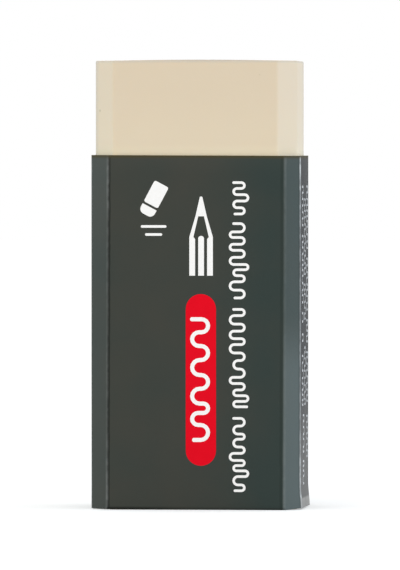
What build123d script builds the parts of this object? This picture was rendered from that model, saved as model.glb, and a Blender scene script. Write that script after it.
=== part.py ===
from build123d import *
import math
import os

# A block eraser in a slide-on card sleeve, standing on its lower end.
# +Z runs along the block, the front panel faces -Y, and the origin is the middle of the block's lower end.
# All lengths are millimetres.

# Eraser block: a moulded bar of synthetic rubber with four chamfered long edges
BLOCK_LENGTH = 42.0
BLOCK_WIDTH = 18.9
BLOCK_DEPTH = 12.0
BLOCK_CHAMFER = 1.75        # leg of each 45 degree chamfer along a long edge
BLOCK_EDGE_RADIUS = 0.35    # softened long edges, as the mould leaves them
BLOCK_RIM_RADIUS = 0.15     # softened rim of each end
CROWN_RISE = 0.13           # height of the gentle dome on the upper end

# Card sleeve: one scored strip of card, wrapped once round the block and glued in a lap at the back
CARD_THICKNESS = 0.30
SLEEVE_LENGTH = 33.0
SLIDE_CLEARANCE = 0.07      # between the block and the card, on each flat side
LEFT_FOLD_EASE = 0.17       # the left corner panels' legs are this much short of the block's chamfer
RIGHT_FOLD_EASE = 0.43      # the same on the right, where the strip was folded further out
CREASE_RADIUS = 0.10        # inside radius of a scored fold
GLUE_FLAP_WIDTH = 9.0       # inner flap of the lap, from its fold to its cut edge
LAP_EDGE_SETBACK = 0.45     # the back panel's cut edge stops this far short of the flap's fold


def chamfered_section(width, depth, leg, edge_radius):
    """Cross-section of the block: a rectangle with 45 degree corners and softened edges."""
    section = Rectangle(width, depth)
    section = chamfer(section.vertices(), leg)
    return fillet(section.vertices(), edge_radius)


def eraser_block():
    """The rubber bar, domed on its upper end and flat on the end that it stands on."""
    section = chamfered_section(BLOCK_WIDTH, BLOCK_DEPTH, BLOCK_CHAMFER, BLOCK_EDGE_RADIUS)
    bar = extrude(section, BLOCK_LENGTH)

    # The dome drops by CROWN_RISE from the middle of the end to its two narrow sides.
    half_width = BLOCK_WIDTH / 2
    dome_radius = (half_width**2 + CROWN_RISE**2) / (2 * CROWN_RISE)
    dome = Pos(0, 0, BLOCK_LENGTH - dome_radius) * Sphere(dome_radius)
    bar = bar & dome

    lower_rim = bar.faces().sort_by(Axis.Z)[0].edges()
    upper_rim = bar.faces().sort_by(Axis.Z)[-1].edges()
    return fillet(lower_rim + upper_rim, BLOCK_RIM_RADIUS)


def card_sleeve():
    """The sleeve: eight panels in one strip of card, its first flap glued under its last panel at the back."""
    # Half sizes and corner legs of the card's mid-thickness line. Half a thickness out from the inside
    # face, a 45 degree panel's leg is longer by (2 - sqrt 2) of that half thickness.
    half_card = CARD_THICKNESS / 2
    half_width = BLOCK_WIDTH / 2 + SLIDE_CLEARANCE + half_card
    half_depth = BLOCK_DEPTH / 2 + SLIDE_CLEARANCE + half_card
    leg_growth = half_card * (2 - math.sqrt(2))
    left_leg = BLOCK_CHAMFER - LEFT_FOLD_EASE + leg_growth
    right_leg = BLOCK_CHAMFER - RIGHT_FOLD_EASE + leg_growth
    lap_depth = half_depth + CARD_THICKNESS
    flap_fold = -half_width + left_leg
    lap_edge = flap_fold + LAP_EDGE_SETBACK
    flap_start = ((flap_fold + lap_edge) / 2, half_depth)

    # The wrap, from the glue flap's fold round the left side, the front and the right side,
    # then along the back, one thickness further out, to the cut edge beside that fold
    wrap_line = FilletPolyline(
        flap_start,
        (flap_fold, half_depth),
        (-half_width, half_depth - left_leg),
        (-half_width, -half_depth + left_leg),
        (-half_width + left_leg, -half_depth),
        (half_width - right_leg, -half_depth),
        (half_width, -half_depth + right_leg),
        (half_width, lap_depth - right_leg),
        (half_width - right_leg, lap_depth),
        (lap_edge, lap_depth),
        radius=CREASE_RADIUS + half_card,
    )
    # The glue flap runs on from its fold, between the block and the back panel.
    flap_line = Line(flap_start, (flap_fold + GLUE_FLAP_WIDTH, half_depth))
    section = trace(wrap_line, CARD_THICKNESS) + trace(flap_line, CARD_THICKNESS)
    return extrude(section, SLEEVE_LENGTH)


os.makedirs("parts", exist_ok=True)
for name, shape in {"eraser_block": eraser_block(), "card_sleeve": card_sleeve()}.items():
    export_step(shape, f"parts/{name}.step")
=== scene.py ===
"""Looks of a block eraser: a moulded rubber bar in a folded, printed card sleeve, on a pale studio floor."""

import logging
import math
import random
from collections.abc import Callable, Iterator
from contextlib import contextmanager
from dataclasses import dataclass, field
from enum import Enum
from typing import Any

import bpy
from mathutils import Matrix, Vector


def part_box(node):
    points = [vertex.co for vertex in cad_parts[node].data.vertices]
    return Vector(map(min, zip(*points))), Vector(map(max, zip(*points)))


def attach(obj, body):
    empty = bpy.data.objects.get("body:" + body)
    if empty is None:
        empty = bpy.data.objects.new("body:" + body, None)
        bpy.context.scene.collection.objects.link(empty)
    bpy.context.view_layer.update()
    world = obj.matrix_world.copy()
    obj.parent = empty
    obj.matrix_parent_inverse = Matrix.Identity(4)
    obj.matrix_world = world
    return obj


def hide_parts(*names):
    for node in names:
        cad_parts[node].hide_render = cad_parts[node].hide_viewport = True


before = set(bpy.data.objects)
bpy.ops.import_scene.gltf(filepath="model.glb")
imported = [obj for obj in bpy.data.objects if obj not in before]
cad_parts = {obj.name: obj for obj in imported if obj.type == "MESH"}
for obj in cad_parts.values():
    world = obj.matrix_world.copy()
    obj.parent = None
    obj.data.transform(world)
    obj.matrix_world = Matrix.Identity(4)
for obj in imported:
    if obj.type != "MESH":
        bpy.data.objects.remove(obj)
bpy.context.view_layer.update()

LOG = logging.getLogger("eraser")
MM = 0.001
# How near a part of a mesh has to lie to a place to be picked there
HAIR = 0.01 * MM
# How far a step of one along a 45 degree panel goes along each axis
SLANT = math.sqrt(0.5)
# Faces that turn by less than this are shaded as one
SMOOTH_ANGLE = math.radians(30)
# Where each point of the sleeve was before it settled crookedly, so that its marks follow its folds
SQUARE_PLACE = "square_place"

# A place seen along the block, or the two ends of a span
Pair = tuple[float, float]
Socket = bpy.types.NodeSocket
# Tests a part's middle, and its normal or, for an edge, the way that it runs
Test = Callable[[Vector, Vector], bool]


class Pick(Enum):
    """What a selection is made of, as edit mode names it."""

    CORNERS = "VERT"
    EDGES = "EDGE"
    FACES = "FACE"


class Panel(Enum):
    """The sleeve's printed panels, each with the turn that stands a flat drawing up on it."""

    FRONT = (math.radians(90), 0.0, 0.0)
    SIDE = (math.radians(90), 0.0, math.radians(90))


def linear(colour: str) -> tuple[float, float, float, float]:
    """Turns an sRGB hex colour into the linear one that shaders take.

    Args:
        colour: six hex digits after a hash sign.

    Returns:
        Red, green, blue and an alpha of one.
    """
    channels = [int(colour[i : i + 2], 16) / 255 for i in (1, 3, 5)]
    red, green, blue = ((c / 12.92) if c <= 0.04045 else ((c + 0.055) / 1.055) ** 2.4 for c in channels)
    return red, green, blue, 1.0


def add_node(
    tree: bpy.types.NodeTree,
    kind: str,
    inputs: dict[str | int, Any] | None = None,
    **settings: Any,
) -> bpy.types.Node:
    """Adds one node to a shader, with its settings and links.

    Args:
        tree: the shader's node tree.
        kind: the node's type, without the words ShaderNode.
        inputs: for each input, by name or number, the value that it holds or the output that feeds it.
        **settings: the node's own properties.

    Returns:
        The new node.
    """
    node = tree.nodes.new("ShaderNode" + kind)
    for name, value in settings.items():
        setattr(node, name, value)
    for socket, value in (inputs or {}).items():
        if isinstance(value, Socket):
            tree.links.new(value, node.inputs[socket])
        else:
            node.inputs[socket].default_value = value
    return node


def new_material(name: str) -> tuple[bpy.types.Material, bpy.types.NodeTree, Socket]:
    """Starts an empty material.

    Args:
        name: the real material and how its surface was made.

    Returns:
        The material, its node tree and the surface input that its shader goes to.
    """
    material = bpy.data.materials.new(name)
    material.use_nodes = True
    tree = material.node_tree
    tree.nodes.clear()
    output = add_node(tree, "OutputMaterial")
    return material, tree, output.inputs["Surface"]


def select_only(piece: bpy.types.Object) -> None:
    """Makes a piece the only selected object and the active one."""
    bpy.ops.object.select_all(action="DESELECT")
    piece.select_set(True)
    bpy.context.view_layer.objects.active = piece


@contextmanager
def picked(piece: bpy.types.Object, kind: Pick, wanted: Test) -> Iterator[None]:
    """Selects parts of a mesh by their place and direction, and stays in edit mode while they are worked on.

    Args:
        piece: the object, which is made the active one.
        kind: whether corners, edges or faces are picked.
        wanted: says which of them.

    Yields:
        Nothing. The operators in the block act on what was picked.

    Raises:
        ValueError: if nothing was picked.
    """
    select_only(piece)
    bpy.ops.object.mode_set(mode="EDIT")
    bpy.ops.mesh.select_mode(type=kind.value)
    bpy.ops.mesh.select_all(action="DESELECT")
    bpy.ops.object.mode_set(mode="OBJECT")
    mesh = piece.data
    if kind is Pick.CORNERS:
        parts = [(corner, corner.co, corner.normal) for corner in mesh.vertices]
    elif kind is Pick.FACES:
        parts = [(face, face.center, face.normal) for face in mesh.polygons]
    else:
        ends = [[mesh.vertices[i].co for i in edge.vertices] for edge in mesh.edges]
        parts = [(edge, (a + b) / 2, (b - a).normalized()) for edge, (a, b) in zip(mesh.edges, ends)]
    chosen = [part for part, middle, direction in parts if wanted(middle, direction)]
    if not chosen:
        raise ValueError(f"nothing was picked on {piece.name}")
    for part in chosen:
        part.select = True
    bpy.ops.object.mode_set(mode="EDIT")
    yield
    bpy.ops.object.mode_set(mode="OBJECT")


def is_upright(middle: Vector, run: Vector) -> bool:
    """Says whether an edge runs along the block."""
    return abs(run.z) > 0.9


def anywhere(middle: Vector, direction: Vector) -> bool:
    """Takes every part of a mesh."""
    return True


def apply_modifier(piece: bpy.types.Object, kind: str, **settings: Any) -> None:
    """Adds a modifier to a piece and applies it.

    Args:
        piece: the object.
        kind: the modifier's type.
        **settings: the modifier's properties.
    """
    modifier = piece.modifiers.new(kind.title(), kind)
    for name, value in settings.items():
        setattr(modifier, name, value)
    select_only(piece)
    bpy.ops.object.modifier_apply(modifier=modifier.name)


def apply_place(piece: bpy.types.Object) -> None:
    """Moves a piece's place, turn and scale into its mesh, so that its object sits at the origin."""
    select_only(piece)
    bpy.ops.object.transform_apply(location=True, rotation=True, scale=True)


def smooth_faces(piece: bpy.types.Object) -> None:
    """Shades a piece smooth, apart from its sharper edges."""
    select_only(piece)
    bpy.ops.object.shade_smooth_by_angle(angle=SMOOTH_ANGLE)


def round_edges(radius: float, steps: int) -> None:
    """Rounds the picked edges, each of which turns by 45 degrees.

    Args:
        radius: the rounding's radius.
        steps: how many faces it gets.
    """
    reach = radius * math.tan(math.radians(22.5))
    bpy.ops.mesh.bevel(offset=reach, offset_type="OFFSET", segments=steps, affect="EDGES")


def extrude(x: float, y: float) -> None:
    """Extrudes what is picked, level, by a step across and a step along."""
    bpy.ops.mesh.extrude_region_move(TRANSFORM_OT_translate={"value": (x, y, 0)})


@dataclass(frozen=True)
class Fade:
    """A share that goes smoothly from a first value to a last one as something, such as a height, changes."""

    value: Socket
    start: float
    end: float
    first: float
    last: float


@dataclass
class Layers:
    """A colour that is laid on in layers inside one material."""

    tree: bpy.types.NodeTree
    colour: Socket | tuple[float, float, float, float]

    def lay(self, tone: str, *shares: Fade | Socket) -> None:
        """Lays a tone over the colour.

        Args:
            tone: the tone's sRGB hex colour.
            *shares: how much of it shows, as fades and values that are multiplied together.
        """
        amount: Socket | float = 1.0
        for share in shares:
            if isinstance(share, Fade):
                ramp = add_node(
                    self.tree,
                    "MapRange",
                    {
                        "Value": share.value,
                        "From Min": share.start,
                        "From Max": share.end,
                        "To Min": share.first,
                        "To Max": share.last,
                    },
                    interpolation_type="SMOOTHSTEP",
                )
                share = ramp.outputs["Result"]
            amount = add_node(self.tree, "Math", {0: amount, 1: share}, operation="MULTIPLY").outputs[0]
        mix = add_node(
            self.tree, "Mix", {"Factor": amount, 6: self.colour, 7: linear(tone)}, data_type="RGBA"
        )
        self.colour = mix.outputs[2]


@dataclass(frozen=True)
class MouldedRubber:
    """Filled synthetic rubber, pressed in a smooth mould: matte, faintly see-through and never quite even."""

    body: str = "#DBC9AD"
    cloud: str = "#DECCB1"
    speck: str = "#C9B899"
    # Painted light: the paler tone laid just above the sleeve
    painted_light: str = "#EBDDBE"
    # Painted shade: the grey laid round the rim and along the narrow sides
    shade_grey: str = "#B6B3AC"
    cloud_size: float = 7.0 * MM
    speck_spacing: float = 3.2 * MM
    speck_radius: float = 0.09 * MM
    # Each band of painted light above the sleeve: how far it reaches past the sleeve, and its share there
    painted_light_bands: tuple[Pair, ...] = ((7.0 * MM, 0.2), (1.3 * MM, 0.6))
    shade_reach: float = 0.45 * MM
    right_shade_reach: float = 0.1 * MM
    rim_shade: float = 0.8
    side_shade: float = 0.4
    # How level the rim is where its painted shade begins to thin and where it stops, and what is left of it
    # there
    shade_facing: Pair = (0.6, 0.95)
    level_shade: float = 0.1
    grain_size: float = 0.22 * MM
    grain_depth: float = 0.012 * MM
    roughness: float = 0.55
    ior: float = 1.5
    gloss: float = 0.35
    see_through: float = 0.15
    light_depth: float = 0.9 * MM
    light_spread: tuple[float, float, float] = (1.0, 0.75, 0.5)

    def material(self, low: Vector, high: Vector, covered: float) -> bpy.types.Material:
        """Makes the rubber's material, which reads the piece's own coordinates.

        Args:
            low: the block's lowest corner.
            high: its highest corner.
            covered: the height of the sleeve's top, above which painted light lifts the shade near the
                sleeve.

        Returns:
            The material.
        """
        material, tree, surface = new_material("synthetic_rubber_moulded")
        coordinates = add_node(tree, "TexCoord")
        place = coordinates.outputs["Object"]
        axes = add_node(tree, "SeparateXYZ", {"Vector": place}).outputs
        facing = add_node(tree, "SeparateXYZ", {"Vector": coordinates.outputs["Normal"]}).outputs
        layers = Layers(tree, linear(self.body))
        # Soft clouds, where the mix of rubber and filler is a shade paler
        clouds = add_node(tree, "TexNoise", {"Vector": place, "Scale": 1 / self.cloud_size, "Detail": 3.0})
        layers.lay(self.cloud, clouds.outputs["Fac"])
        # Painted light, paler towards the sleeve, which lifts the shade that falls just above its rim
        for reach, share in self.painted_light_bands:
            layers.lay(self.painted_light, Fade(axes["Z"], covered, covered + reach, share, 0.0))
        # Painted shade round its rim, by little on the level top, and on both narrow sides, on the right
        # towards the back
        layers.lay(
            self.shade_grey,
            Fade(axes["Z"], high.z - self.shade_reach, high.z, 0.0, self.rim_shade),
            Fade(facing["Z"], *self.shade_facing, 1.0, self.level_shade),
        )
        layers.lay(self.shade_grey, Fade(axes["X"], low.x, low.x + self.shade_reach, self.side_shade, 0.0))
        layers.lay(
            self.shade_grey,
            Fade(axes["X"], high.x - self.right_shade_reach, high.x, 0.0, self.side_shade),
            Fade(axes["Y"], 0.0, high.y, 0.0, 1.0),
        )
        # Sparse specks of filler, a few to each square centimetre
        specks = add_node(
            tree, "TexVoronoi", {"Vector": place, "Scale": 1 / self.speck_spacing, "Randomness": 1.0}
        )
        radius = self.speck_radius / self.speck_spacing
        layers.lay(self.speck, Fade(specks.outputs["Distance"], radius, 2 * radius, 1.0, 0.0))
        # The mould's fine grain takes the shine off, and is drawn coarser than it is, so that it shows
        grain = add_node(tree, "TexNoise", {"Vector": place, "Scale": 1 / self.grain_size, "Detail": 2.0})
        bump = add_node(
            tree,
            "Bump",
            {"Height": grain.outputs["Fac"], "Strength": 0.5, "Distance": self.grain_depth},
        )
        shader = add_node(
            tree,
            "BsdfPrincipled",
            {
                "Base Color": layers.colour,
                "Roughness": self.roughness,
                "IOR": self.ior,
                "Specular IOR Level": self.gloss,
                "Subsurface Weight": self.see_through,
                "Subsurface Radius": self.light_spread,
                "Subsurface Scale": self.light_depth,
                "Normal": bump.outputs["Normal"],
            },
        )
        tree.links.new(shader.outputs["BSDF"], surface)
        return material


@dataclass(frozen=True)
class MottledFinish:
    """A plain finish of two close tones in soft patches."""

    name: str
    tone: str
    other_tone: str
    patch_size: float
    patch_detail: float
    roughness: float
    gloss: float

    def material(self) -> bpy.types.Material:
        """Makes the finish's material.

        Returns:
            The material.
        """
        material, tree, surface = new_material(self.name)
        place = add_node(tree, "TexCoord").outputs["Object"]
        patches = add_node(
            tree, "TexNoise", {"Vector": place, "Scale": 1 / self.patch_size, "Detail": self.patch_detail}
        )
        colour = add_node(
            tree,
            "Mix",
            {"Factor": patches.outputs["Fac"], 6: linear(self.tone), 7: linear(self.other_tone)},
            data_type="RGBA",
        )
        shader = add_node(
            tree,
            "BsdfPrincipled",
            {"Base Color": colour.outputs[2], "Roughness": self.roughness, "Specular IOR Level": self.gloss},
        )
        tree.links.new(shader.outputs["BSDF"], surface)
        return material


@dataclass(frozen=True)
class BareCard(MottledFinish):
    """Unprinted board, as it shows inside the sleeve and along its cut edges: pale, dry and fibrous."""

    patch_size: float = 0.5 * MM
    patch_detail: float = 4.0
    roughness: float = 0.85
    gloss: float = 0.2


@dataclass(frozen=True)
class OffsetInk(MottledFinish):
    """A solid field of offset ink under thin varnish: even, flat at its edges, with a faint mottle."""

    patch_size: float = 1.6 * MM
    patch_detail: float = 3.0
    roughness: float = 0.5
    gloss: float = 0.25


@dataclass(frozen=True)
class Fold:
    """One fold of the sleeve, with the marks that handling left along it and the painted shade of its score
    groove.
    """

    place: Pair
    rub_and_sheen: float
    score_shade_side: Pair = (0.0, 0.0)
    score_shade: float = 0.0


@dataclass(frozen=True)
class SheenAndWearPanel:
    """A panel whose tone changes, found by the way that it faces and a fold beside it: painted sheen on a
    corner panel, a plainer grey or wear on the side panel.
    """

    outward: Vector
    fold: Pair
    tone: str
    greyed_below: float
    greyed_above: float
    change_heights: Pair


@dataclass(frozen=True)
class PrintedCard:
    """Coated card, flooded with dark ink by offset under matt varnish: a dull sheen, pale where it rubs, with
    painted sheen on its corner panels and painted shade in its score grooves, along its foot and towards the
    front's right.
    """

    warm_ink: str = "#41413A"
    # The darker, cooler ink shows in the clouds, and as painted shade towards the front's right
    mottle_and_shade_ink: str = "#333D39"
    # Painted shade, nearly black, for the score grooves and along the front's foot
    painted_shade_ink: str = "#0E110C"
    # Painted sheen, paler, for the two corner panels
    painted_sheen_ink: str = "#8F9896"
    side_ink: str = "#454343"
    worn_ink: str = "#A6A29B"
    rim_stain: str = "#4A4228"
    rim_haze: str = "#80786A"
    board: str = "#DCDDD9"
    cloud_size: float = 6.0 * MM
    # Where painted shade makes the ink darker and cooler across the front, and how much less or more of the
    # darker ink shows there
    shade_span: Pair = (1.0 * MM, 7.5 * MM)
    shade_shares: Pair = (-0.25, 0.45)
    # How far behind a panel's plane its grey begins and is full, and the same for the worn foot
    panel_edge: Pair = (0.16 * MM, 0.03 * MM)
    worn_edge: Pair = (0.15 * MM, 0.02 * MM)
    # Cracks and scuffs: their size, the part of the noise that they take up, and what shows between them
    crack_size: float = 0.8 * MM
    crack_span: Pair = (0.38, 0.62)
    between_cracks: float = 0.5
    scuff_size: float = 1.5 * MM
    scuff_span: Pair = (0.3, 0.7)
    between_scuffs: float = 0.6
    stray_size: float = 1.1 * MM
    stray: float = 0.05 * MM
    # Where the rubbing of a fold grows from its middle to its ends, as parts of its length
    end_rub_span: Pair = (0.25, 0.48)
    middle_rub: float = 0.45
    rub_width: float = 0.14 * MM
    score_shade_width: float = 0.12 * MM
    # Where a line begins to fade and is gone, as parts of its width
    line_edge: Pair = (0.4, 1.6)
    rim_width: float = 0.40 * MM
    rim_share: float = 0.9
    haze_width: float = 2.0 * MM
    haze_share: float = 0.03
    # How high the painted shade along the front's foot reaches
    foot_width: float = 0.38 * MM
    # How far behind the front's plane the foot's painted shade begins to fade and is gone
    foot_depth: Pair = (0.02 * MM, 0.10 * MM)
    right_foot_share: float = 0.55
    worn_foot: float = 1.1 * MM
    worn_share: float = 0.9
    grain_size: float = 0.28 * MM
    grain_depth: float = 0.010 * MM
    roughness: float = 0.72
    gloss: float = 0.12

    def material(
        self, folds: list[Fold], panels: list[SheenAndWearPanel], low: Vector, high: Vector
    ) -> bpy.types.Material:
        """Makes the printed face's material.

        Args:
            folds: where the sleeve's folds stand, and their marks.
            panels: the panels that are greyed.
            low: the sleeve's lowest corner.
            high: its highest corner.

        Returns:
            The material.
        """
        material, tree, surface = new_material("coated_card_offset_printed")
        place = add_node(tree, "Attribute", attribute_name=SQUARE_PLACE).outputs["Vector"]
        axes = add_node(tree, "SeparateXYZ", {"Vector": place}).outputs
        layers = self._flood(tree, place, axes["X"])
        for panel in panels:
            self._grey_panel(layers, place, axes["Z"], panel)
        self._mark_folds(layers, place, axes["Z"], folds, high.z)
        self._mark_rims(layers, place, low, high)
        # The board's fibres under the coat, drawn coarser than they are, so that they show
        grain = add_node(tree, "TexNoise", {"Vector": place, "Scale": 1 / self.grain_size, "Detail": 3.0})
        bump = add_node(
            tree,
            "Bump",
            {"Height": grain.outputs["Fac"], "Strength": 0.4, "Distance": self.grain_depth},
        )
        shader = add_node(
            tree,
            "BsdfPrincipled",
            {
                "Base Color": layers.colour,
                "Roughness": self.roughness,
                "Specular IOR Level": self.gloss,
                "Normal": bump.outputs["Normal"],
            },
        )
        tree.links.new(shader.outputs["BSDF"], surface)
        return material

    def _flood(self, tree: bpy.types.NodeTree, place: Socket, across: Socket) -> Layers:
        """Starts the layers with the flood of dark ink in soft clouds, with painted shade that makes it
        darker and cooler towards the right.

        Args:
            tree: the material's node tree.
            place: where the point is.
            across: how far right it is.

        Returns:
            The layers.
        """
        layers = Layers(tree, linear(self.warm_ink))
        clouds = add_node(tree, "TexNoise", {"Vector": place, "Scale": 1 / self.cloud_size, "Detail": 3.0})
        # Painted shade: the darker ink grows towards the front's right
        (start, end), (less, more) = self.shade_span, self.shade_shares
        shade_drift = add_node(
            tree,
            "MapRange",
            {"Value": across, "From Min": start, "From Max": end, "To Min": less, "To Max": more},
            interpolation_type="SMOOTHSTEP",
        )
        mottle_and_shade = add_node(
            tree,
            "Math",
            {0: clouds.outputs["Fac"], 1: shade_drift.outputs["Result"]},
            operation="ADD",
            use_clamp=True,
        )
        layers.lay(self.mottle_and_shade_ink, mottle_and_shade.outputs["Value"])
        return layers

    def _grey_panel(self, layers: Layers, place: Socket, height: Socket, panel: SheenAndWearPanel) -> None:
        """Greys one panel, by more towards its foot or its top.

        Args:
            layers: the material's layers.
            place: where the point is.
            height: how high it is.
            panel: which panel, and how grey it is.
        """
        plane = panel.outward.dot(Vector((*panel.fold, 0)))
        outward = add_node(layers.tree, "VectorMath", {0: place, 1: panel.outward}, operation="DOT_PRODUCT")
        start, full = (plane - behind for behind in self.panel_edge)
        here = Fade(outward.outputs["Value"], start, full, 0.0, 1.0)
        amount = Fade(height, *panel.change_heights, panel.greyed_below, panel.greyed_above)
        layers.lay(panel.tone, here, amount)

    def _mark_folds(
        self, layers: Layers, place: Socket, height: Socket, folds: list[Fold], top: float
    ) -> None:
        """Draws each fold's painted shade along its score groove, and the broken line where its ink has
        cracked to the board.

        Args:
            layers: the material's layers.
            place: where the point is.
            height: how high it is.
            folds: the folds and their marks.
            top: the sleeve's height.
        """
        tree = layers.tree
        # Neither line is quite straight
        waver = add_node(tree, "TexNoise", {"Vector": place, "Scale": 1 / self.stray_size, "Detail": 2.0})
        centred = add_node(
            tree, "VectorMath", {0: waver.outputs["Color"], 1: (0.5, 0.5, 0.5)}, operation="SUBTRACT"
        )
        strayed = add_node(
            tree,
            "VectorMath",
            {0: centred.outputs["Vector"], 1: (2 * self.stray, 2 * self.stray, 0.0), 2: place},
            operation="MULTIPLY_ADD",
        )
        across = add_node(
            tree, "VectorMath", {0: strayed.outputs["Vector"], 1: (1.0, 1.0, 0.0)}, operation="MULTIPLY"
        )
        cracks = add_node(tree, "TexNoise", {"Vector": place, "Scale": 1 / self.crack_size, "Detail": 4.0})
        broken = Fade(cracks.outputs["Fac"], *self.crack_span, self.between_cracks, 1.0)
        # The ends of a fold rub more than its middle
        from_middle = add_node(tree, "Math", {0: height, 1: top / 2}, operation="SUBTRACT")
        from_middle = add_node(tree, "Math", {0: from_middle.outputs[0]}, operation="ABSOLUTE")
        start, end = (part * top for part in self.end_rub_span)
        towards_ends = Fade(from_middle.outputs[0], start, end, self.middle_rub, 1.0)
        for fold in folds:
            score_shade_place = [at + side for at, side in zip(fold.place, fold.score_shade_side)]
            # The first line is painted shade in the score groove, the second is ink cracked to the board
            lines = (
                (score_shade_place, self.score_shade_width, fold.score_shade, self.painted_shade_ink, []),
                (fold.place, self.rub_width, fold.rub_and_sheen, self.board, [broken, towards_ends]),
            )
            for middle, width, strength, tone, breaks in lines:
                away = add_node(
                    tree,
                    "VectorMath",
                    {0: across.outputs["Vector"], 1: (*middle, 0.0)},
                    operation="DISTANCE",
                )
                edge, gone = (part * width for part in self.line_edge)
                layers.lay(tone, Fade(away.outputs["Value"], edge, gone, strength, 0.0), *breaks)

    def _mark_rims(self, layers: Layers, place: Socket, low: Vector, high: Vector) -> None:
        """Paints shade along the front's foot, stains the upper rim and wears the right-hand foot down to
        grey.

        Args:
            layers: the material's layers.
            place: where the point is.
            low: the sleeve's lowest corner.
            high: its highest corner.
        """
        axes = add_node(layers.tree, "SeparateXYZ", {"Vector": place}).outputs
        # Painted shade along the front's foot, darkest on the left
        near, far = (low.y + behind for behind in self.foot_depth)
        layers.lay(
            self.painted_shade_ink,
            Fade(axes["Z"], low.z, low.z + self.foot_width, 1.0, 0.0),
            Fade(axes["Y"], near, far, 1.0, 0.0),
            Fade(axes["X"], 0.6 * low.x, 0.0, 1.0, self.right_foot_share),
        )
        # Handling has hazed the sleeve below its upper rim, and browned the rim itself
        for tone, reach, share in (
            (self.rim_haze, self.haze_width, self.haze_share),
            (self.rim_stain, self.rim_width, self.rim_share),
        ):
            layers.lay(tone, Fade(axes["Z"], high.z, high.z - reach, share, 0.0))
        scuffs = add_node(
            layers.tree, "TexNoise", {"Vector": place, "Scale": 1 / self.scuff_size, "Detail": 2.0}
        )
        start, full = (high.x - behind for behind in self.worn_edge)
        layers.lay(
            self.worn_ink,
            Fade(axes["X"], start, full, 0.0, 1.0),
            Fade(axes["Z"], 0.75 * self.worn_foot, self.worn_foot, self.worn_share, 0.0),
            Fade(scuffs.outputs["Fac"], *self.scuff_span, self.between_scuffs, 1.0),
        )


@dataclass
class RubberBlock:
    """The eraser itself: a bar with four chamfered long edges and a gently domed upper end."""

    chamfer: float = 1.75 * MM
    edge_radius: float = 0.35 * MM
    rim_radius: float = 0.15 * MM
    crown_rise: float = 0.13 * MM
    crown_cells: int = 8
    soft_steps: int = 4
    rubber: MouldedRubber = field(default_factory=MouldedRubber)

    def build(self) -> bpy.types.Object:
        """Models the bar where the frame has it, dresses it and puts it on its body.

        Returns:
            The finished piece.
        """
        low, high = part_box("eraser_block")
        size = high - low
        crown_base = high.z - self.crown_rise
        bpy.ops.object.select_all(action="DESELECT")
        bpy.ops.mesh.primitive_cube_add(
            size=1, location=(0, (low.y + high.y) / 2, (low.z + crown_base) / 2)
        )
        block = bpy.context.object
        block.name = "rubber_block"
        block.scale = (size.x, size.y, crown_base - low.z)
        apply_place(block)
        self._shape_long_edges(block)
        self._shape_ends(block, low.z, crown_base, size / 2)
        smooth_faces(block)
        sleeve_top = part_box("card_sleeve")[1].z
        block.data.materials.append(self.rubber.material(low, high, sleeve_top))
        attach(block, "eraser")
        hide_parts("eraser_block")
        return block

    def _shape_long_edges(self, block: bpy.types.Object) -> None:
        """Chamfers the four long edges, then softens the eight that this leaves.

        Args:
            block: the bar.
        """
        with picked(block, Pick.EDGES, is_upright):
            bpy.ops.mesh.bevel(offset=self.chamfer, offset_type="OFFSET", segments=1, affect="EDGES")
        with picked(block, Pick.EDGES, is_upright):
            round_edges(self.edge_radius, self.soft_steps)

    def _shape_ends(self, block: bpy.types.Object, foot: float, top: float, half: Vector) -> None:
        """Rounds the rims of both ends and raises the dome.

        Args:
            block: the bar.
            foot: height of its lower end.
            top: height of its upper end's rim.
            half: half of the bar's width and depth.
        """
        with picked(block, Pick.EDGES, lambda at, run: at.z > top - HAIR or at.z < foot + HAIR):
            bpy.ops.mesh.bevel(
                offset=self.rim_radius, offset_type="OFFSET", segments=self.soft_steps, affect="EDGES"
            )
        # Cuts both ways across the end give the dome corners to rise on, one of them in the middle
        for across in (Vector((1, 0, 0)), Vector((0, 1, 0))):
            for i in range(1, self.crown_cells):
                cut = across * half.x * (2 * i / self.crown_cells - 1)
                if abs(cut.y) < half.y:
                    with picked(block, Pick.FACES, lambda at, normal: normal.z > 0.999 and at.z > top - HAIR):
                        bpy.ops.mesh.bisect(plane_co=cut + Vector((0, 0, top)), plane_no=across)
        with picked(block, Pick.CORNERS, lambda at, normal: at.z > top - HAIR and at.xy.length < HAIR):
            # This falloff is one less the square of the distance, which is a shallow dome's own curve
            bpy.ops.transform.translate(
                value=(0, 0, self.crown_rise),
                use_proportional_edit=True,
                proportional_edit_falloff="INVERSE_SQUARE",
                proportional_size=half.x,
            )


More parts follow.
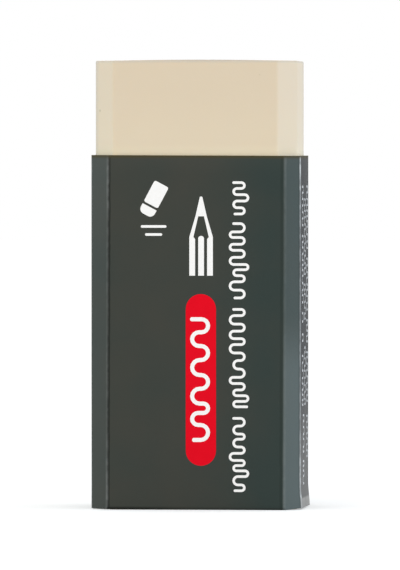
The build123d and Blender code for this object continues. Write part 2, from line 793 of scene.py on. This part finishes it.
@dataclass
class CardSleeve:
    """The sleeve: one strip of scored card, folded round the block and glued in a lap at the back."""

    left_leg: float = 1.643 * MM
    right_leg: float = 1.383 * MM
    fold_lean: float = math.radians(0.17)
    fold_radius: float = 0.40 * MM
    fold_steps: int = 4
    glue_flap_end: float = 0.998 * MM
    back_panel_end: float = -7.552 * MM
    glue_gap: float = 0.02 * MM
    rows: int = 48
    score_shade_offset: float = 0.17 * MM
    top_slope: float = math.radians(0.2)
    foot_slope: float = math.radians(0.2)
    flare: float = 0.15 * MM
    flare_lift: float = 0.02 * MM
    flare_reach: float = 2.2 * MM
    worn_corner: float = 0.14 * MM
    worn_corner_reach: float = 1.9 * MM
    card: PrintedCard = field(default_factory=PrintedCard)
    inside: BareCard = BareCard("greyboard_bare_face", "#C9C6BE", "#BDB9AF")
    cut_edge: BareCard = BareCard("card_cut_edge", "#B9B6AC", "#8E8C84")

    def __post_init__(self) -> None:
        """Reads the sleeve's outer size and the card's thickness off the frame."""
        self.low, self.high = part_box("card_sleeve")
        self.thickness = self.high.y + self.low.y

    def corners(self) -> list[Pair]:
        """Gives the printed face's corners, seen along the block.

        Returns:
            Points from the glue flap's cut edge round to the back panel's, in the order of folding.
        """
        left, right = self.low.x, self.high.x
        front, back = self.low.y, self.high.y
        flap = back - self.thickness - self.glue_gap
        return [
            (self.glue_flap_end, flap),
            (left + self.left_leg, flap),
            (left, flap - self.left_leg),
            (left, front + self.left_leg),
            (left + self.left_leg, front),
            (right - self.right_leg, front),
            (right, front + self.right_leg),
            (right, back - self.right_leg),
            (right - self.right_leg, back),
            (self.back_panel_end, back),
        ]

    def front_corner_folds(self) -> list[Pair]:
        """Gives the four folds of the two front corner panels, from left to right."""
        return self.corners()[3:7]

    def folds(self) -> list[Fold]:
        """Says what marks each fold has.

        Returns:
            The folds, from the glue flap's round to the back panel's.
        """
        offset, slant = self.score_shade_offset, self.score_shade_offset * SLANT
        # How far each fold is rubbed, where the painted shade of its score groove lies beside it and how dark
        # that shade is
        marks = (
            (0.12,),
            (0.16,),
            (0.10,),
            (0.13, (0.8 * offset, 0.0), 0.8),
            (0.06, (-2 * offset, 0.0), 0.2),
            (0.75, (-slant, -slant), 0.25),
            (0.25,),
            (0.2,),
        )
        return [Fold(place, *mark) for place, mark in zip(self.corners()[1:-1], marks)]

    def finishes(self) -> list[bpy.types.Material]:
        """Makes the sleeve's finishes.

        Returns:
            The materials of its printed face, its inside and its cut edges.
        """
        left_fold, _, _, right_fold = self.front_corner_folds()
        left_corner, right_corner = Vector((-SLANT, -SLANT, 0)), Vector((SLANT, -SLANT, 0))
        right_side = Vector((1, 0, 0))
        rub_and_sheen, side, worn = self.card.painted_sheen_ink, self.card.side_ink, self.card.worn_ink
        top = self.high.z
        panels = [
            # Painted sheen on both corner panels, then the side panel's plainer grey and its worn foot
            SheenAndWearPanel(left_corner, left_fold, rub_and_sheen, 0.05, 0.09, (0.65 * top, top)),
            SheenAndWearPanel(right_corner, right_fold, rub_and_sheen, 0.3, 0.14, (0.38 * top, 0.56 * top)),
            SheenAndWearPanel(right_side, right_fold, side, 0.8, 0.8, (0.0, top)),
            SheenAndWearPanel(right_side, right_fold, worn, 0.34, 0.0, (0.0, 0.45 * top)),
        ]
        printed = self.card.material(self.folds(), panels, self.low, self.high)
        return [printed, self.inside.material(), self.cut_edge.material()]

    def build(self) -> bpy.types.Object:
        """Folds the strip up panel by panel, gives it the card's thickness and dresses it.

        Returns:
            The finished piece.
        """
        sleeve = self._fold_strip()
        self._round_folds(sleeve)
        self._settle(sleeve)
        apply_modifier(
            sleeve,
            "SOLIDIFY",
            thickness=self.thickness,
            offset=-1.0,
            use_even_offset=True,
            material_offset=1,
            material_offset_rim=2,
        )
        smooth_faces(sleeve)
        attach(sleeve, "sleeve")
        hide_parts("card_sleeve")
        return sleeve

    def _fold_strip(self) -> bpy.types.Object:
        """Lays the glue flap and extrudes its free edge round the block, one panel to each fold.

        Returns:
            The strip, with no thickness yet.
        """
        points = self.corners()
        (flap_x, flap_y), (fold_x, _) = points[:2]
        bpy.ops.object.select_all(action="DESELECT")
        bpy.ops.mesh.primitive_plane_add(
            size=1,
            location=((flap_x + fold_x) / 2, flap_y, (self.low.z + self.high.z) / 2),
            rotation=(math.radians(-90), 0, 0),
        )
        sleeve = bpy.context.object
        sleeve.name = "folded_sleeve"
        sleeve.scale = (flap_x - fold_x, self.high.z - self.low.z, 1)
        apply_place(sleeve)
        for finish in self.finishes():
            sleeve.data.materials.append(finish)
        with picked(sleeve, Pick.EDGES, lambda at, run: is_upright(at, run) and abs(at.x - fold_x) < HAIR):
            for (x0, y0), (x1, y1) in zip(points[1:], points[2:]):
                extrude(x1 - x0, y1 - y0)
        return sleeve

    def _round_folds(self, sleeve: bpy.types.Object) -> None:
        """Rounds the folds and divides the panels, so that they can lean and flare.

        Args:
            sleeve: the strip.
        """
        open_ends = (self.glue_flap_end, self.back_panel_end)
        with picked(
            sleeve,
            Pick.EDGES,
            lambda at, run: is_upright(at, run) and all(abs(at.x - end) > HAIR for end in open_ends),
        ):
            round_edges(self.fold_radius, self.fold_steps)
        with picked(sleeve, Pick.EDGES, is_upright):
            bpy.ops.mesh.subdivide(number_cuts=self.rows - 1)

    def _settle(self, sleeve: bpy.types.Object) -> None:
        """Notes each point's place, then leans the front folds, slopes the cut ends and bends the worn foot.

        Args:
            sleeve: the strip.
        """
        places = sleeve.data.attributes.new(SQUARE_PLACE, "FLOAT_VECTOR", "POINT")
        for corner, place in zip(sleeve.data.vertices, places.data):
            place.vector = corner.co
        low, high = self.low, self.high
        _, *front_folds, (_, fold_y) = self.front_corner_folds()
        # The folds beside the front panel lean to the right
        for fold in front_folds:
            with picked(
                sleeve, Pick.CORNERS, lambda at, normal: (at.xy - Vector(fold)).length < self.fold_radius
            ):
                bpy.ops.transform.rotate(
                    value=-self.fold_lean, orient_axis="Y", center_override=(*fold, high.z / 2)
                )
        # Both ends are cut a little out of square, higher on the left, so it stands on the right of its foot
        for end, slope in ((high.z, self.top_slope), (low.z, self.foot_slope)):
            with picked(sleeve, Pick.CORNERS, lambda at, normal: abs(at.z - end) < HAIR):
                bpy.ops.transform.rotate(value=-slope, orient_axis="Y", center_override=(high.x, 0, end))
        # The right-hand panel's foot is splayed, and the corner in front of it has worn up
        bends = (
            (low.y + self.right_leg - HAIR, high.y, (self.flare, 0, self.flare_lift), self.flare_reach),
            (fold_y - HAIR, fold_y + self.fold_radius, (0, 0, self.worn_corner), self.worn_corner_reach),
        )
        # The slope and the first bend lift the foot by less than this
        foot = low.z + 5 * HAIR
        for start, end, shift, reach in bends:
            with picked(
                sleeve,
                Pick.CORNERS,
                lambda at, normal: at.x > high.x - HAIR and start < at.y < end and at.z < foot,
            ):
                bpy.ops.transform.translate(
                    value=shift,
                    use_proportional_edit=True,
                    proportional_edit_falloff="SMOOTH",
                    proportional_size=reach,
                )


@dataclass
class Drawing:
    """A drawing board: flat shapes are drawn on it, then laid on one of the sleeve's panels as thin ink."""

    name: str
    panel: Panel
    ink: OffsetInk
    lift: float = 0.004 * MM
    film: float = 0.012 * MM
    curve_steps: int = 8
    # How uneven a scribble's steps are, and how often its runs to each side go astray
    step_range: Pair = (0.75, 1.25)
    left_strays: float = 0.4
    right_strays: float = 0.15
    shapes: list[bpy.types.Object] = field(default_factory=list)
    dice: random.Random = field(default_factory=lambda: random.Random(5))

    def plate(self, left: float, right: float, low: float, high: float) -> bpy.types.Object:
        """Draws a plain rectangle.

        Args:
            left: where it starts across the panel.
            right: where it ends across the panel.
            low: its lower end.
            high: its upper end.

        Returns:
            The new shape.
        """
        bpy.ops.object.select_all(action="DESELECT")
        bpy.ops.mesh.primitive_plane_add(size=1, location=((left + right) / 2, (low + high) / 2, 0))
        shape = bpy.context.object
        shape.scale = (right - left, high - low, 1)
        apply_place(shape)
        self.shapes.append(shape)
        return shape

    def round_corners(self, shape: bpy.types.Object, radius: float, wanted: Test = anywhere) -> None:
        """Rounds a shape's corners.

        Args:
            shape: the shape.
            radius: how far along its edges each corner is cut.
            wanted: which corners, by their place.
        """
        with picked(shape, Pick.CORNERS, wanted):
            bpy.ops.mesh.bevel(
                offset=radius, offset_type="OFFSET", segments=self.curve_steps, affect="VERTICES"
            )

    def scribble(self, column: Pair, ends: Pair, stroke: float, pitch: float, stray: float = 0.0) -> None:
        """Draws one ribbon to and fro down a column, with round turns and uneven steps.

        Args:
            column: the column's left and right edges.
            ends: its lower and upper ends.
            stroke: the ribbon's width.
            pitch: about how far apart its runs are.
            stray: how far some of its turns reach past the column.
        """
        (left, right), (low, high) = column, ends
        turns = max(1, round((high - low - stroke) / pitch))
        shares = [self.dice.uniform(*self.step_range) for _ in range(turns)]
        steps = [(high - low - stroke) * share / sum(shares) for share in shares]
        # Turns on the right and on the left take it in turn, each as wide as its own step
        at = right - (stroke + steps[0]) / 2
        height = high - stroke / 2
        shape = self.plate(left, at, high - stroke, high)
        near = 0.1 * stroke
        with picked(shape, Pick.EDGES, lambda middle, run: abs(run.y) > 0.9 and middle.x > at - near):
            for i, step in enumerate(steps):
                on_right = i % 2 == 0
                bpy.ops.mesh.spin(
                    steps=self.curve_steps,
                    angle=math.pi,
                    center=(at, height - step / 2, 0),
                    axis=(0, 0, 1 if on_right else -1),
                )
                height -= step
                room = (stroke + (steps[i + 1] if i + 1 < turns else 0.0)) / 2
                # From a turn on the right the ribbon runs to the left, and back
                strays = self.left_strays if on_right else self.right_strays
                room -= stray * (self.dice.random() < strays)
                end = left + room if on_right else right - room
                extrude(end - at, 0)
                at = end
        self.round_corners(
            shape,
            0.45 * stroke,
            lambda place, normal: (place.y > high - stroke - near and place.x < left + near)
            or (place.y < low + stroke + near and abs(place.x - at) < near),
        )

    def lay_on(self, sleeve: bpy.types.Object) -> bpy.types.Object:
        """Joins the shapes, stands them up on their panel and gives them an ink film's thickness.

        Args:
            sleeve: the sleeve that carries the print.

        Returns:
            The finished piece.
        """
        print_film = self.shapes[0]
        select_only(print_film)
        for shape in self.shapes[1:]:
            shape.select_set(True)
        if len(self.shapes) > 1:
            bpy.ops.object.join()
        print_film.name = self.name
        if any(face.normal.z < 0 for face in print_film.data.polygons):
            with picked(print_film, Pick.FACES, lambda middle, normal: normal.z < 0):
                bpy.ops.mesh.flip_normals()
        low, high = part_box("card_sleeve")
        on_front = self.panel is Panel.FRONT
        clear = 2 * MM
        print_film.rotation_euler = self.panel.value
        print_film.location = (0, low.y - clear, 0) if on_front else (high.x + clear, 0, 0)
        apply_place(print_film)
        apply_modifier(
            print_film,
            "SHRINKWRAP",
            target=sleeve,
            wrap_method="PROJECT",
            wrap_mode="ABOVE_SURFACE",
            use_project_x=not on_front,
            use_project_y=on_front,
            use_negative_direction=not on_front,
            use_positive_direction=on_front,
            offset=self.lift,
        )
        apply_modifier(print_film, "SOLIDIFY", thickness=self.film, offset=1.0)
        print_film.data.materials.append(self.ink.material())
        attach(print_film, "sleeve")
        return print_film


@dataclass
class FrontPrint:
    """What is printed on the front panel: a pencil sign, a rubber sign, a red lozenge and scribbled lines."""

    white: OffsetInk = OffsetInk("offset_print_white", "#FCF9F5", "#F8F5F1")
    red: OffsetInk = OffsetInk("offset_ink_red", "#EA0620", "#E2021C", gloss=0.06)
    lozenge: Pair = (-0.83 * MM, 2.00 * MM)
    lozenge_ends: Pair = (4.12 * MM, 20.13 * MM)
    lozenge_line: Pair = (-0.42 * MM, 1.45 * MM)
    lozenge_line_ends: Pair = (6.34 * MM, 17.97 * MM)
    lozenge_stroke: float = 0.38 * MM
    lozenge_pitch: float = 1.28 * MM
    line: Pair = (3.53 * MM, 4.77 * MM)
    line_ends: tuple[Pair, ...] = (
        (27.47 * MM, 30.63 * MM),
        (19.65 * MM, 26.81 * MM),
        (9.51 * MM, 18.82 * MM),
        (1.69 * MM, 8.67 * MM),
    )
    line_stroke: float = 0.24 * MM
    line_pitch: float = 0.64 * MM
    line_stray: float = 0.34 * MM
    pencil_middle: float = 0.607 * MM
    rubber_middle: Pair = (-3.83 * MM, 28.17 * MM)

    def build(self, sleeve: bpy.types.Object) -> list[bpy.types.Object]:
        """Draws the front's print and lays it on the sleeve.

        Args:
            sleeve: the sleeve that carries it.

        Returns:
            The red and the white pieces.
        """
        red = Drawing("front_print_red", Panel.FRONT, self.red)
        left, right = self.lozenge
        # A hair short of half its width, so that its corners don't meet
        red.round_corners(red.plate(left, right, *self.lozenge_ends), 0.499 * (right - left))
        white = Drawing("front_print_white", Panel.FRONT, self.white)
        self._pencil(white)
        self._rubber(white)
        for ends in self.line_ends:
            white.scribble(self.line, ends, self.line_stroke, self.line_pitch, self.line_stray)
        over = Drawing("lozenge_print_white", Panel.FRONT, self.white, lift=red.lift + red.film + red.lift)
        over.scribble(self.lozenge_line, self.lozenge_line_ends, self.lozenge_stroke, self.lozenge_pitch)
        return [drawing.lay_on(sleeve) for drawing in (red, white, over)]

    def _pencil(self, drawing: Drawing) -> None:
        """Draws half of an upright pencil, then mirrors it.

        Args:
            drawing: the board that it is drawn on.
        """
        foot, shoulder, collar, tip = 21.84 * MM, 25.44 * MM, 27.37 * MM, 29.21 * MM
        half_width, bar, collar_half, tip_half = 1.10 * MM, 0.54 * MM, 0.53 * MM, 0.11 * MM
        thin, line, widening, bar_rise = 0.26 * MM, 0.38 * MM, 0.19 * MM, 0.1 * MM
        lead = drawing.plate(-collar_half, 0, collar, tip)
        with picked(lead, Pick.CORNERS, lambda at, normal: at.y > tip - HAIR and at.x < -HAIR):
            bpy.ops.transform.translate(value=(collar_half - tip_half, 0, 0))
            bpy.ops.mesh.bevel(offset=0.8 * tip_half, offset_type="OFFSET", segments=5, affect="VERTICES")
        with picked(lead, Pick.FACES, anywhere):
            bpy.ops.mesh.bisect(plane_co=(thin - collar_half, 0, 0), plane_no=(1, 0, 0))
        # The sharpened wood's outline runs down from the lead and widens into the outer bar
        with picked(
            lead, Pick.EDGES, lambda at, run: abs(at.y - collar) < HAIR and at.x < thin - collar_half
        ):
            extrude(collar_half - half_width, shoulder - collar)
        with picked(
            lead, Pick.CORNERS, lambda at, normal: at.y < shoulder + HAIR and at.x > HAIR - half_width
        ):
            bpy.ops.transform.translate(value=(line - thin, 0, 0))
        with picked(lead, Pick.EDGES, lambda at, run: at.y < shoulder + HAIR and abs(run.x) > 0.9):
            extrude(0, -widening)
        with picked(
            lead,
            Pick.CORNERS,
            lambda at, normal: at.y < shoulder - HAIR and at.x > line - half_width - HAIR,
        ):
            bpy.ops.transform.translate(value=(bar - line, 0, 0))
        with picked(
            lead, Pick.EDGES, lambda at, run: at.y < shoulder + HAIR - widening and abs(run.x) > 0.9
        ):
            extrude(0, foot - shoulder + widening)
        middle = drawing.plate(-bar / 2, 0, foot, shoulder + bar_rise)
        drawing.round_corners(middle, 0.45 * bar, lambda at, normal: at.y > shoulder and at.x < -HAIR)
        for half in (lead, middle):
            apply_modifier(half, "MIRROR", use_axis=(True, False, False), merge_threshold=0.1 * HAIR)
            half.location.x = self.pencil_middle
            apply_place(half)

    def _rubber(self, drawing: Drawing) -> None:
        """Draws a tilted rubber in its band, with the strokes that it leaves.

        Args:
            drawing: the board that it is drawn on.
        """
        across, along = self.rubber_middle
        half, gap, tilt = 0.74 * MM, 0.22 * MM, math.radians(28)
        foot, edge, top = along - 0.85 * MM, along + 0.2 * MM, along + 2.4 * MM
        band_rounding, end_rounding = 0.18 * MM, 0.5 * MM
        band = drawing.plate(across - half, across + half, edge, top)
        drawing.round_corners(band, band_rounding)
        end = drawing.plate(across - half, across + half, foot, edge - gap)
        drawing.round_corners(end, end_rounding, lambda at, normal: at.y < (foot + edge - gap) / 2)
        for shape in (band, end):
            with picked(shape, Pick.FACES, anywhere):
                bpy.ops.transform.rotate(
                    value=tilt, orient_axis="Z", center_override=(across, (foot + top) / 2, 0)
                )
        # Two strokes under it, the lower one shorter
        thin = 0.24 * MM
        for reach, drop in ((1.2 * MM, 1.75 * MM), (0.8 * MM, 2.5 * MM)):
            height = along - drop
            stroke = drawing.plate(across - reach, across + reach, height - thin / 2, height + thin / 2)
            drawing.round_corners(stroke, 0.497 * thin)


@dataclass
class SidePrint:
    """Small print on the right side panel, in scribbled lines along it."""

    white: OffsetInk = OffsetInk("offset_print_pale", "#C6C6C4", "#B9B9B7")
    stroke: float = 0.20 * MM
    pitch: float = 0.57 * MM
    # Each line in millimetres: its two edges across the panel, then the ends of its scribbles
    lines: tuple[tuple[Pair, tuple[Pair, ...]], ...] = (
        ((-3.4, -1.8), ((26.4, 30.2), (19.2, 25.6), (17.4, 18.4), (15.6, 16.4), (9.6, 14.4))),
        ((-2.2, -0.6), ((5.2, 8.8), (2.2, 4.5))),
        ((-0.3, 1.1), ((21.8, 29.0), (17.6, 21.0), (9.6, 15.1))),
        ((2.5, 4.0), ((24.2, 30.2), (18.4, 23.4), (15.4, 17.6), (9.8, 14.6), (4.6, 8.6))),
    )

    def build(self, sleeve: bpy.types.Object) -> bpy.types.Object:
        """Draws the small print and lays it on the sleeve.

        Args:
            sleeve: the sleeve that carries it.

        Returns:
            The finished piece.
        """
        drawing = Drawing("side_print", Panel.SIDE, self.white)
        for (left, right), scribbles in self.lines:
            for low, high in scribbles:
                drawing.scribble((left * MM, right * MM), (low * MM, high * MM), self.stroke, self.pitch)
        return drawing.lay_on(sleeve)


@dataclass(frozen=True)
class SoftBox:
    """A square soft lamp that faces the object."""

    name: str
    place: tuple[float, float, float]
    size: float
    radiance: float
    colour: str = "#FFFFFF"

    def build(self, target: Vector) -> None:
        """Hangs the lamp in its place.

        Args:
            target: the point that it faces.
        """
        data = bpy.data.lights.new(self.name, "AREA")
        data.shape = "SQUARE"
        data.size = self.size
        # A square lamp's radiance is a quarter of its power to each square metre
        data.energy = 4 * self.size**2 * self.radiance
        data.color = linear(self.colour)[:3]
        lamp = bpy.data.objects.new(self.name, data)
        lamp.location = self.place
        lamp.rotation_euler = (target - Vector(self.place)).to_track_quat("-Z", "Y").to_euler()
        bpy.context.scene.collection.objects.link(lamp)


@dataclass
class Studio:
    """A pale floor, plain soft light and the camera."""

    yaw: float = math.radians(4.679)
    pitch: float = math.radians(1.011)
    distance: float = 800 * MM
    target: tuple[float, float, float] = (-0.017 * MM, 0.0, 20.857 * MM)
    pixels_per_mm: float = 10.65
    image_height: int = 570
    sensor_width: float = 36.0
    nearest: float = 10 * MM
    floor_size: float = 4.0
    floor_colour: str = "#EDEDEB"
    daylight: float = 0.86
    # How much of the daylight the floor gives back, which its glow makes up to white
    floor_return: float = 0.8
    lamps: tuple[SoftBox, ...] = (
        SoftBox("front_box", (-0.25, -0.72, 0.55), 0.60, 1.0),
        SoftBox("right_box", (0.45, -0.04, 0.06), 0.28, 3.2, "#B6D8FF"),
        SoftBox("left_box", (-0.45, -0.04, 0.06), 0.28, 1.5, "#8CD3FF"),
    )

    def build(self) -> None:
        """Sets the stage in order."""
        self._camera()
        self._world()
        self._floor()
        for lamp in self.lamps:
            lamp.build(Vector(self.target))
        bpy.context.scene.view_settings.view_transform = "Standard"

    def _camera(self) -> None:
        """Puts the camera at the photograph's viewpoint."""
        level = math.cos(self.pitch)
        back = Vector((math.sin(self.yaw) * level, -math.cos(self.yaw) * level, math.sin(self.pitch)))
        data = bpy.data.cameras.new("camera")
        data.sensor_width = self.sensor_width
        data.lens = data.sensor_width * self.pixels_per_mm * (self.distance / MM) / self.image_height
        data.clip_start = self.nearest
        camera = bpy.data.objects.new("camera", data)
        camera.location = Vector(self.target) + back * self.distance
        camera.rotation_euler = (-back).to_track_quat("-Z", "Y").to_euler()
        bpy.context.scene.collection.objects.link(camera)
        bpy.context.scene.camera = camera

    def _seen_directly(self, tree: bpy.types.NodeTree) -> Socket:
        """Tells rays from the camera, straight or by reflection, from soft light.

        Args:
            tree: the node tree that asks.

        Returns:
            One for such a ray, and nothing for soft light.
        """
        path = add_node(tree, "LightPath")
        seen = path.outputs["Is Camera Ray"]
        for kind in ("Is Glossy Ray", "Is Transmission Ray"):
            seen = add_node(tree, "Math", {0: seen, 1: path.outputs[kind]}, operation="MAXIMUM").outputs[0]
        return seen

    def _world(self) -> None:
        """Puts a white surround round it, which lights the object more softly than it shows."""
        world = bpy.data.worlds.new("white_surround")
        bpy.context.scene.world = world
        world.use_nodes = True
        tree = world.node_tree
        tree.nodes.clear()
        strength = add_node(
            tree,
            "MapRange",
            {"Value": self._seen_directly(tree), "To Min": self.daylight, "To Max": 1.0},
        )
        sky = add_node(
            tree, "Background", {"Color": linear("#FFFFFF"), "Strength": strength.outputs["Result"]}
        )
        output = add_node(tree, "OutputWorld")
        tree.links.new(sky.outputs["Background"], output.inputs["Surface"])

    def _floor(self) -> None:
        """Lays a pale floor that fades to white and keeps the object's shadow."""
        bpy.ops.object.select_all(action="DESELECT")
        bpy.ops.mesh.primitive_plane_add(size=self.floor_size)
        floor = bpy.context.object
        floor.name = "studio_floor"
        material, tree, surface = new_material("pale_studio_paper")
        paper = add_node(tree, "BsdfDiffuse", {"Color": linear(self.floor_colour)})
        missing = 1.0 - self.floor_return * self.daylight
        lift = add_node(tree, "MapRange", {"Value": self._seen_directly(tree), "To Max": missing})
        glow = add_node(tree, "Emission", {"Strength": lift.outputs["Result"]})
        both = add_node(tree, "AddShader", {0: paper.outputs[0], 1: glow.outputs[0]})
        tree.links.new(both.outputs[0], surface)
        floor.data.materials.append(material)


def main() -> None:
    """Builds every piece in order and logs how many faces each piece has."""
    logging.basicConfig(level=logging.INFO, format="%(name)s: %(message)s")
    bpy.ops.object.select_all(action="DESELECT")
    block = RubberBlock().build()
    sleeve = CardSleeve().build()
    prints = [*FrontPrint().build(sleeve), SidePrint().build(sleeve)]
    for piece in (block, sleeve, *prints):
        LOG.info("%s has %d faces", piece.name, len(piece.data.polygons))
    Studio().build()


if __name__ == "__main__":
    main()
